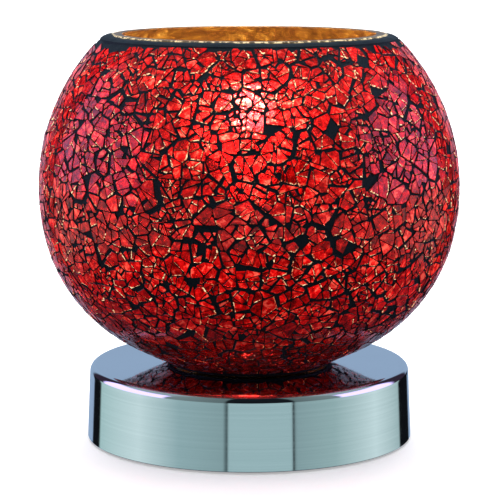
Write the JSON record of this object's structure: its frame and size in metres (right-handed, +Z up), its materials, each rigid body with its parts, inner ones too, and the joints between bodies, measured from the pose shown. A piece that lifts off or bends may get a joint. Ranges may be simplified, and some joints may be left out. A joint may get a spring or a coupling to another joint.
{
  "type": "mosaic glass table lamp",
  "caption": "Squat touch lamp: an open-topped round glass globe, skinned in red crackle mosaic, standing on a low polished chrome disc base.",
  "frame": {"origin": "centre of the footprint, on the surface that the lamp stands on", "axes": "+Z up along the lamp's axis, +Y towards the cord inlet at the back, +X to the right seen from the front"},
  "size_m": [0.15, 0.15, 0.1453],
  "materials": {
    "chrome_sheet": "bright chrome plate, faintly brushed on the wall",
    "black_steel": "satin black powder coat",
    "steel_weight": "plain cut steel",
    "zinc_steel": "zinc plated",
    "foot_rubber": "matt black",
    "brass": "turned brass",
    "tinned_brass": "tinned",
    "black_phenolic": "moulded phenolic, satin",
    "black_nylon": "moulded nylon",
    "white_nylon": "moulded nylon",
    "ivory_plastic": "moulded",
    "circuit_board": "solder mask",
    "black_package": "moulded epoxy",
    "copper_winding": "enamelled winding",
    "film_capacitor": "dipped resin",
    "brown_insulation": "flexible insulation",
    "red_insulation": "flexible insulation",
    "blue_insulation": "flexible insulation",
    "yellow_insulation": "flexible insulation",
    "amber_glass": "blown glass, amber stained inside",
    "grout": "fine matt grout, blue-black",
    "red_chips": "crazed glass chips, red behind",
    "steatite": "unglazed steatite",
    "fibre_washer": "vulcanised fibre",
    "opal_glass": "softly frosted",
    "nickel_cap": "nickel plated",
    "cap_glass": "black vitrite",
    "solder": "solder",
    "clear_glass": "clear",
    "support_wire": "nickel wire",
    "tungsten": "tungsten"
  },
  "bodies": {
    "root": {"base_shell": "chrome_sheet", "bottom_cover": "black_steel", "weight_plate": "steel_weight", "plate_screws": "zinc_steel", "rubber_feet": "foot_rubber", "threaded_nipple": "brass", "lower_nut": "zinc_steel", "lower_washer": "zinc_steel", "inner_nut": "zinc_steel", "inner_washer": "zinc_steel", "sensor_terminal": "tinned_brass", "cord_bush": "black_nylon", "cord_clamp": "white_nylon", "cord_clamp_screws": "zinc_steel", "dimmer_case": "ivory_plastic", "dimmer_lid": "ivory_plastic", "dimmer_screws": "zinc_steel", "dimmer_board": "circuit_board", "dimmer_triac": "black_package", "dimmer_choke": "copper_winding", "dimmer_capacitors": "film_capacitor", "dimmer_chip": "black_package", "terminal_block": "white_nylon", "terminal_inserts": "brass", "terminal_screws": "zinc_steel", "live_lead": "brown_insulation", "lamp_lead": "red_insulation", "neutral_lead": "blue_insulation", "sensor_lead": "yellow_insulation", "seat_gasket": "foot_rubber", "shade_globe": "amber_glass", "grout_layer": "grout", "mosaic_layer": "red_chips", "holder_cap": "black_phenolic", "holder_body": "black_phenolic", "holder_core": "steatite", "holder_sleeve": "brass", "holder_grub_screw": "zinc_steel", "centre_contact": "brass", "side_contact": "brass", "holder_screws": "brass"},
    "ring_lift_stage": {"ring_washer": "fibre_washer"},
    "ring": {"shade_ring": "black_phenolic"},
    "bulb_lift_stage": {"bulb_contact": "solder"},
    "bulb": {"bulb_envelope": "opal_glass", "bulb_cap": "nickel_cap", "bulb_insulator": "cap_glass", "bulb_stem": "clear_glass", "bulb_supports": "support_wire", "bulb_filament": "tungsten"}
  },
  "joints": [
    {"name": "ring_lift", "type": "slide", "parent": "root", "child": "ring_lift_stage", "axis": [0, 0, 1], "range_m": [0, 0.0081]},
    {"name": "ring_turn", "type": "hinge", "parent": "ring_lift_stage", "child": "ring", "pos_m": [0, 0, 0.0316], "axis": [0, 0, 1], "range_deg": [0, 1440]},
    {"name": "bulb_lift", "type": "slide", "parent": "root", "child": "bulb_lift_stage", "axis": [0, 0, 1], "range_m": [0, 0.0114]},
    {"name": "bulb_turn", "type": "hinge", "parent": "bulb_lift_stage", "child": "bulb", "pos_m": [0, 0, 0.0625], "axis": [0, 0, 1], "range_deg": [0, 1440]}
  ],
  "couplings": [
    {"joint": "ring_lift", "follows": "ring_turn", "m_per_rad": 0.00031831},
    {"joint": "bulb_lift", "follows": "bulb_turn", "m_per_rad": 0.00044913}
  ]
}
